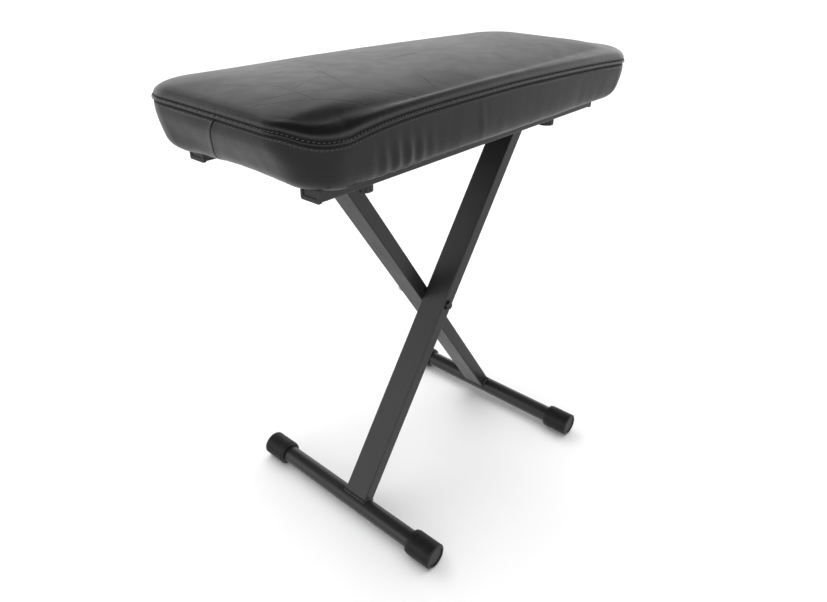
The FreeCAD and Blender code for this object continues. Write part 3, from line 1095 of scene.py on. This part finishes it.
    def _simulated(self, rest: bpy.types.Object) -> list[Vector]:
        """Run the cloth on the net.

        Args:
            rest: the net, with its held group.

        Returns:
            Where each vertex comes to.
        """
        cloth = rest.modifiers.new("cloth", "CLOTH")
        for name, value in self.cloth:
            setattr(cloth.settings, name, value)
        cloth.settings.use_pressure = True
        cloth.settings.vertex_group_mass = "held"
        cloth.settings.effector_weights.gravity = 0.0
        cloth.collision_settings.use_collision = False
        cloth.point_cache.frame_start = 1
        cloth.point_cache.frame_end = self.cloth_frames
        scene = bpy.context.scene
        for step in range(1, self.cloth_frames + 1):
            scene.frame_set(step)
        seen = rest.evaluated_get(bpy.context.evaluated_depsgraph_get())
        after = [v.co.copy() for v in seen.data.vertices]
        rest.modifiers.remove(cloth)
        scene.frame_set(1)
        return after

    def shape_relief(self, skin: bmesh.types.BMesh) -> None:
        """Press the seams in, raise the band and draw the ripples, along the skin's normals.

        Args:
            skin: the skin, which is moved.
        """
        skin.normal_update()
        turn, level = skin.verts.layers.float["turn"], skin.verts.layers.float["level"]
        moves = []
        for vert in skin.verts:
            away = (vert[turn] if vert[turn] < 0.5 else vert[turn] - 1.0) * self.around
            lift = self._band_relief(vert[level], away) + self._side_relief(vert.co, vert[level], away)
            lift += self._top_relief(vert.co, vert[level])
            moves.append((vert, vert.normal * lift))
        for vert, move in moves:
            vert.co += move

    def _band_relief(self, level: float, away: float) -> float:
        """The sewn band's section: a deep seam, a raised fold and a groove over the stitches.

        Args:
            level: the vertex's level.
            away: its distance round from the middle of the -X side.

        Returns:
            How far the leather stands out.
        """
        pucker = self.pucker * math.sin(away * math.pi / self.stitch_pitch)
        return sum(ridge.at(level) for ridge in self.ridges) + pucker * bell(level - self.upper_row, 1.0)

    def crease(self, level: float) -> float:
        """How deep in one of the band's two seams a level is, from 0 to 1."""
        return max(ridge.at(level) for ridge in self.creases)

    def _side_relief(self, point: Vector, level: float, away: float) -> float:
        """The butt seam of the -X side, the ripples by the near corner and slack in the leather.

        Args:
            point: the vertex's place.
            level: its level.
            away: its distance round from the middle of the -X side.

        Returns:
            How far the leather stands out.
        """
        if not 3.0 < level < self.seam_level:
            return 0.0
        height = point.z - self.bottom
        inside = ease(level, 3.0, 4.0) * (1.0 - ease(level, 8.5, 8.9))
        butt = sum(ridge.at(away - self.butt_seam) for ridge in self.butt_ridges)
        lift = butt * ease(level, 3.0, 3.6)
        if point.y < self.ripples_end:
            lift += self.ripples.at(point.x, height)
        slack = noise.noise(Vector((point.x * 13.0, point.y * 13.0, point.z * 22.0)))
        drawn = noise.noise(Vector((point.x * 62.0, point.y * 62.0, point.z * 11.0 + 5.0)))
        drawn *= bell(height - 10.0 * MM, 22.0 * MM)
        return lift + inside * (self.slack * slack + self.drawn * drawn)

    def _top_relief(self, point: Vector, level: float) -> float:
        """The unevenness of foam under the crown.

        Args:
            point: the vertex's place.
            level: its level.

        Returns:
            How far the leather stands out.
        """
        broad = noise.noise(Vector((point.x * 9.0 + 3.0, point.y * 9.0, 0.4)))
        close = noise.noise(Vector((point.x * 34.0, point.y * 34.0, 1.7)))
        lumps = self.foam_broad * broad + self.foam_close * close
        return ease(level, 12.5, self.last + 0.25) * lumps

    @staticmethod
    def ring(skin: bmesh.types.BMesh, level: float) -> list[tuple[Vector, Vector]]:
        """The places and normals round the skin at the ring nearest a level.

        Args:
            skin: the finished skin.
            level: the level.

        Returns:
            Place and normal of each vertex, in order round the ring.
        """
        skin.normal_update()
        turns, levels = skin.verts.layers.float["turn"], skin.verts.layers.float["level"]
        nearest = min({v[levels] for v in skin.verts}, key=lambda found: abs(found - level))
        row = sorted((v for v in skin.verts if v[levels] == nearest), key=lambda v: v[turns])
        return [(v.co.copy(), v.normal.copy()) for v in row]

    def stitch(self, name: str, row: list[tuple[Vector, Vector]]) -> bpy.types.Object:
        """A closed row of small stitches laid on the skin.

        Args:
            name: the piece's name.
            row: place and normal round the row.

        Returns:
            The piece.
        """
        bm = bmesh.new()
        closed = row + row[:1]
        travelled, following = 0.0, 0.0
        for (start, normal), (end, _) in zip(closed, closed[1:]):
            step = (end - start).length
            while following < travelled + step:
                place = start.lerp(end, (following - travelled) / step)
                self._one_stitch(bm, place, (end - start).normalized(), normal)
                following += self.stitch_pitch
            travelled += step
        piece = finish_mesh(name, bm, Dress.THREAD, turned=False)
        return seat_piece(piece, "seat")

    def _one_stitch(self, bm: bmesh.types.BMesh, place: Vector, along: Vector, normal: Vector) -> None:
        """Add one stitch: a short thread, tipped a little across the row.

        Args:
            bm: the mesh that it is added to.
            place: its middle.
            along: the row's direction.
            normal: the skin's normal.
        """
        side = normal.cross(along).normalized()
        tipped = (along + side * self.stitch_tip).normalized()
        across = normal.cross(tipped).normalized()
        turn = Matrix((tipped, across, normal)).transposed().to_4x4()
        half = self.stitch_pitch * self.stitch_share
        size = Matrix.Diagonal((half, self.thread_radius, self.thread_radius, 1.0))
        matrix = Matrix.Translation(place + normal * self.stitch_rise) @ turn @ size
        bmesh.ops.create_icosphere(bm, subdivisions=1, radius=1.0, matrix=matrix)


# ---------------------------------------------------------------- under the seat


@dataclass
class Underside:
    """The dust cloth stretched over the board's underside, and the staples at its ends."""

    box: tuple[Vector, Vector]
    corner: float = 23.0 * MM
    sag: float = 0.35 * MM
    gap: float = 0.1 * MM
    staples_each: int = 4
    staple_wide: float = 10.0 * MM
    staple_pitch: float = 38.0 * MM
    staple_inset: float = 7.0 * MM
    wire: float = 0.55 * MM

    def build(self) -> None:
        """Build the cloth and its staples."""
        low, high = self.box
        self.half_x, self.half_y = (high.x - low.x) / 2.0, (high.y - low.y) / 2.0
        self.cloth(low.z, high.z)
        self.staples(low.z)

    def cloth(self, low: float, high: float) -> bpy.types.Object:
        """The cloth: a thin sheet with rounded corners and a slight slack between its edges.

        Args:
            low: its underside.
            high: its top.

        Returns:
            The piece.
        """
        bm = bmesh.new()
        size = Matrix.Translation((0, 0, high)) @ Matrix.Diagonal((self.half_x, self.half_y, 1.0, 1.0))
        bmesh.ops.create_grid(bm, x_segments=96, y_segments=40, size=1.0, matrix=size)
        for vert in bm.verts:
            vert.co = self._rounded(vert.co)
            slack = (1.0 - (vert.co.y / self.half_y) ** 2) * (1.0 - (vert.co.x / self.half_x) ** 4)
            wave = noise.noise(Vector((vert.co.x * 30.0, vert.co.y * 30.0, 2.0)))
            vert.co.z -= self.sag * slack * (0.7 + 0.6 * wave)
        bmesh.ops.recalc_face_normals(bm, faces=bm.faces)
        if sum(face.normal.z for face in bm.faces) < 0.0:
            bmesh.ops.reverse_faces(bm, faces=bm.faces)
        bmesh.ops.solidify(bm, geom=list(bm.faces), thickness=high - low - self.gap)
        piece = finish_mesh("dust_sheet", bm, Dress.NON_WOVEN)
        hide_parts("dust_cloth")
        return seat_piece(piece, "seat")

    def _rounded(self, point: Vector) -> Vector:
        """Draw a corner of the square grid in to its rounded outline.

        Args:
            point: a point of the grid.

        Returns:
            The drawn-in point.
        """
        over_x = abs(point.x) - (self.half_x - self.corner)
        over_y = abs(point.y) - (self.half_y - self.corner)
        if over_x <= 0.0 or over_y <= 0.0:
            return point
        keep = max(over_x, over_y) / math.hypot(over_x, over_y)
        x = self.half_x - self.corner + over_x * keep
        y = self.half_y - self.corner + over_y * keep
        return Vector((math.copysign(x, point.x), math.copysign(y, point.y), point.z))

    def staples(self, low: float) -> bpy.types.Object:
        """Wire staples in a row across each end of the cloth.

        Args:
            low: the cloth's underside.

        Returns:
            The piece.
        """
        bm = bmesh.new()
        for side in (-1.0, 1.0):
            for step in range(self.staples_each):
                off = (step - (self.staples_each - 1) / 2.0) * self.staple_pitch
                place = Vector((side * (self.half_x - self.staple_inset), off, low))
                turn = Matrix.Rotation(0.14 * math.sin(5.0 * step + side), 4, "Z")
                size = Matrix.Diagonal((2.0 * self.wire, self.staple_wide, 2.0 * self.wire, 1.0))
                matrix = Matrix.Translation(place) @ turn @ size
                made = bmesh.ops.create_cube(bm, size=1.0, matrix=matrix)
                edges = {edge for vert in made["verts"] for edge in vert.link_edges}
                bmesh.ops.bevel(bm, geom=list(edges), offset=0.45 * self.wire, segments=2, profile=0.5,
                                affect="EDGES", material=-1)
        return seat_piece(finish_mesh("staples", bm, Dress.ZINC_STEEL), "seat")


# ---------------------------------------------------------------- the frame


@dataclass
class WeldedJoint:
    """A fillet of weld round the end of a leg where it meets a round tube."""

    name: str
    body: str
    centre: Vector
    along: Vector
    radius: float
    low_y: float
    high_y: float
    half_thin: float
    bead: float = 2.1 * MM
    pitch: float = 1.5 * MM
    tilt: float = 0.3

    def build(self) -> bpy.types.Object:
        """Lay overlapping scales of weld round the joint.

        Returns:
            The piece.
        """
        bm = bmesh.new()
        places = list(self._path())
        for index, (place, outward) in enumerate(places):
            ahead = places[(index + 1) % len(places)][0] - places[index - 1][0]
            ahead.normalize()
            side = outward.cross(ahead).normalized()
            turn = Matrix((ahead, side, outward)).transposed().to_4x4()
            swell = 1.0 + 0.16 * math.sin(2.3 * index) + 0.08 * math.sin(5.1 * index)
            scale = (self.bead * 0.95, self.bead * 1.15 * swell, self.bead * 0.8 * swell, 1.0)
            size = Matrix.Diagonal(scale)
            matrix = Matrix.Translation(place) @ turn @ size
            bmesh.ops.create_icosphere(bm, subdivisions=2, radius=1.0, matrix=matrix)
        piece = finish_mesh(self.name, bm, Dress.POWDER_COAT, turned=False)
        return seat_piece(piece, self.body)

    def _path(self) -> Iterable[tuple[Vector, Vector]]:
        """Places round the joint with the direction that the weld faces.

        Yields:
            Each place and its outward direction.
        """
        across = Vector((self.along.z, 0.0, -self.along.x))
        face = self._foot(self.half_thin)
        wide = self.high_y - self.low_y - 2.0 * MM
        count = int(wide / self.pitch)
        thin_count = int(2.0 * self.half_thin / self.pitch)
        for side, start, end in ((1.0, self.low_y + MM, self.high_y), (-1.0, self.high_y - MM, self.low_y)):
            for step in range(count + 1):
                spot = self.centre + across * (side * self.half_thin) + self.along * face
                place = Vector((spot.x, start + side * wide * step / count, spot.z))
                yield place, (across * side + self.along * self.tilt).normalized()
            for step in range(1, thin_count):
                out = side * self.half_thin * (1.0 - 2.0 * step / thin_count)
                spot = self.centre + across * out + self.along * self._foot(out)
                facing = Vector((0.0, side, 0.0)) + self.along * self.tilt
                yield Vector((spot.x, end, spot.z)), facing.normalized()

    def _foot(self, out: float) -> float:
        """How far along the leg the round tube's surface is, at a distance off the leg's middle."""
        return math.sqrt(self.radius**2 - out**2)


@dataclass
class PivotBolt:
    """The cross pivot's bolt, with a domed head and a rounded tip."""

    head_radius: float = 6.2 * MM
    head_height: float = 4.0 * MM
    dome_share: float = 0.72
    shank_radius: float = 4.0 * MM

    def build(self) -> bpy.types.Object:
        """Spin the bolt about its axis.

        Returns:
            The piece, which stands for the plain bolt.
        """
        low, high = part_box("pivot_bolt")
        axis = Vector(((low.x + high.x) / 2.0, 0.0, (low.z + high.z) / 2.0))
        seat = low.y + self.head_height
        profile = [(0.0, low.y)]
        full = math.pi * 8 / 18
        for step in range(1, 9):
            angle = step * math.pi / 18.0
            rise = self.head_height * self.dome_share * (1.0 - math.cos(angle)) / (1.0 - math.cos(full))
            profile.append((self.head_radius * math.sin(angle) / math.sin(full), low.y + rise))
        profile += [(self.head_radius, seat - 0.25 * MM), (self.head_radius - 0.25 * MM, seat),
                    (self.shank_radius, seat), (self.shank_radius, high.y - 0.9 * MM),
                    (self.shank_radius - 0.9 * MM, high.y), (0.0, high.y)]
        bm = bmesh.new()
        verts = [bm.verts.new(axis + Vector((radius, y, 0.0))) for radius, y in profile]
        edges = [bm.edges.new(pair) for pair in zip(verts, verts[1:])]
        bmesh.ops.spin(bm, geom=verts + edges, cent=axis, axis=(0.0, 1.0, 0.0), angle=2.0 * math.pi,
                       steps=40, use_merge=True)
        bmesh.ops.remove_doubles(bm, verts=bm.verts, dist=1e-6)
        piece = finish_mesh("pivot_bolt_domed", bm, Dress.BLACK_STEEL)
        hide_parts("pivot_bolt")
        return seat_piece(piece, "leg_a")


@dataclass
class SteelFrame:
    """The frame's own parts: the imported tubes, caps, blocks and knobs, and the welds between them."""

    finishes: tuple[tuple[str, Dress], ...] = (
        ("foot_cap", Dress.RUBBER),
        ("rail_cap", Dress.CAP_PLASTIC),
        ("rail_screws", Dress.ZINC_STEEL),
        ("rail", Dress.POWDER_COAT),
        ("leg_tube", Dress.POWDER_COAT),
        ("foot_tube", Dress.POWDER_COAT),
        ("t_bar", Dress.POWDER_COAT),
        ("pivot_stub", Dress.ZINC_STEEL),
        ("slide_block", Dress.BLOCK_PLASTIC),
        ("clamp_knob", Dress.KNOB_PLASTIC),
        ("clamp_stud", Dress.ZINC_STEEL),
        ("pivot_nut", Dress.ZINC_STEEL),
        ("pivot_head_washer", Dress.BLACK_STEEL),
        ("pivot_thrust_washer", Dress.BLOCK_PLASTIC),
        ("pivot_bolt", Dress.BLACK_STEEL),
        ("seat_board", Dress.PLYWOOD),
        ("seat_foam", Dress.LEATHERETTE),
        ("seat_cover", Dress.LEATHERETTE),
        ("dust_cloth", Dress.NON_WOVEN),
    )
    leg_thin: float = 19.0 * MM

    def build(self) -> None:
        """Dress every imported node, then lay the welds."""
        for name, node in FRAME["nodes"].items():
            dress = next(dress for start, dress in self.finishes if name.startswith(start))
            node.data.materials.clear()
            node.data.materials.append(dress.material())
            log.info("%s: dressed in %s", name, dress.name.lower())
        PivotBolt().build()
        for leg in ("a", "b"):
            self.welds(leg)

    def welds(self, leg: str) -> None:
        """Lay the welds at a leg's foot and at its T-bar.

        Args:
            leg: which leg, a or b.
        """
        foot, foot_radius = self._axis(f"foot_tube_{leg}")
        bar, bar_radius = self._axis(f"t_bar_{leg}")
        low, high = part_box(f"leg_tube_{leg}")
        up = (bar - foot).normalized()
        ends = (("foot", foot, foot_radius, up), ("bar", bar, bar_radius, -up))
        for name, centre, radius, along in ends:
            WeldedJoint(
                name=f"weld_{name}_{leg}", body=f"leg_{leg}", centre=centre, along=along, radius=radius,
                low_y=low.y, high_y=high.y, half_thin=self.leg_thin / 2.0,
            ).build()

    @staticmethod
    def _axis(node: str) -> tuple[Vector, float]:
        """The middle and radius of a round tube that lies along Y.

        Args:
            node: the tube's name.

        Returns:
            A point of its axis and its radius.
        """
        low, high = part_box(node)
        return Vector(((low.x + high.x) / 2.0, 0.0, (low.z + high.z) / 2.0)), (high.z - low.z) / 2.0


# ---------------------------------------------------------------- the studio


@dataclass
class Studio:
    """A pale floor, an even wash of light with a darker ceiling, and the camera."""

    eye: Vector = field(default_factory=lambda: Vector((-0.6085, -0.5121, 0.7180)))
    heading: float = 0.854323
    pitch: float = -0.517045
    roll: float = 0.004429
    lens: float = 28.216
    floor_half: float = 30.0
    wash_strength: float = 1.5
    wash_stops: tuple[tuple[float, float], ...] = (
        (0.0, 0.5), (0.47, 0.5), (0.5, 1.0), (0.70, 1.0), (0.76, 0.6), (0.82, 0.08), (1.0, 0.02),
    )
    lamp_energy: float = 2.9
    lamp_spread: float = math.radians(75.0)
    lamp_turn: tuple[float, float, float] = (math.radians(-12.0), math.radians(8.0), 0.0)

    def build(self) -> None:
        """Set up the floor, the light and the camera."""
        self.floor()
        self.wash()
        self.lamps()
        self.camera()

    def floor(self) -> None:
        """Lay the floor."""
        bm = bmesh.new()
        bmesh.ops.create_grid(bm, x_segments=1, y_segments=1, size=self.floor_half)
        mesh = bpy.data.meshes.new("floor")
        bm.to_mesh(mesh)
        bm.free()
        ground = bpy.data.objects.new("floor", mesh)
        bpy.context.scene.collection.objects.link(ground)
        r = Recipe("floor_paint")
        r.set(Base_Color=(0.92, 0.92, 0.92, 1.0), Roughness=0.75, Specular_IOR_Level=0.2)
        mesh.materials.append(r.material)
        ground.visible_glossy = False

    def wash(self) -> None:
        """Light the room evenly from its walls, less from its ceiling."""
        world = bpy.data.worlds.new("room")
        world.use_nodes = True
        tree = world.node_tree
        tree.nodes.clear()
        coords = tree.nodes.new("ShaderNodeTexCoord")
        split = tree.nodes.new("ShaderNodeSeparateXYZ")
        ramp = tree.nodes.new("ShaderNodeValToRGB")
        shade = tree.nodes.new("ShaderNodeBackground")
        output = tree.nodes.new("ShaderNodeOutputWorld")
        ramp.color_ramp.elements[0].position = self.wash_stops[0][0]
        ramp.color_ramp.elements[1].position = self.wash_stops[-1][0]
        for position, _ in self.wash_stops[1:-1]:
            ramp.color_ramp.elements.new(position)
        for element, (_, value) in zip(ramp.color_ramp.elements, self.wash_stops):
            element.color = (value, value, value, 1.0)
        shade.inputs["Strength"].default_value = self.wash_strength
        tree.links.new(coords.outputs["Generated"], split.inputs["Vector"])
        rise = tree.nodes.new("ShaderNodeMapRange")
        rise.inputs["From Min"].default_value = -1.0
        tree.links.new(split.outputs["Z"], rise.inputs["Value"])
        tree.links.new(rise.outputs["Result"], ramp.inputs["Fac"])
        tree.links.new(ramp.outputs["Color"], shade.inputs["Color"])
        tree.links.new(shade.outputs["Background"], output.inputs["Surface"])
        bpy.context.scene.world = world

    def lamps(self) -> None:
        """Hang one broad, even lamp overhead for the floor and its shadows."""
        lamp = bpy.data.lights.new("overhead", "SUN")
        lamp.energy = self.lamp_energy
        lamp.angle = self.lamp_spread
        holder = bpy.data.objects.new("overhead", lamp)
        holder.rotation_euler = self.lamp_turn
        holder.visible_glossy = False
        bpy.context.scene.collection.objects.link(holder)

    def camera(self) -> None:
        """Place the camera."""
        level = math.cos(self.pitch)
        east, north = math.sin(self.heading), math.cos(self.heading)
        ahead = Vector((east * level, north * level, math.sin(self.pitch)))
        right = Vector((north, -east, 0.0))
        up = right.cross(ahead)
        tipped_right = right * math.cos(self.roll) + up * math.sin(self.roll)
        tipped_up = up * math.cos(self.roll) - right * math.sin(self.roll)
        data = bpy.data.cameras.new("camera")
        data.sensor_width = 36.0
        data.lens = self.lens
        data.clip_end = 100.0
        camera = bpy.data.objects.new("camera", data)
        bpy.context.scene.collection.objects.link(camera)
        turn = Matrix((tipped_right, tipped_up, -ahead)).transposed().to_4x4()
        camera.matrix_world = Matrix.Translation(self.eye) @ turn
        bpy.context.scene.camera = camera


def main() -> None:
    """Build the bench in order: frame, underside, cushion, then the studio round it."""
    logging.basicConfig(level=logging.INFO, format="%(name)s: %(message)s")
    bpy.context.scene.view_settings.view_transform = "Standard"
    SteelFrame().build()
    Underside(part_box("dust_cloth")).build()
    Cushion(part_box("seat_cover")).build()
    Studio().build()


if __name__ == "__main__":
    main()
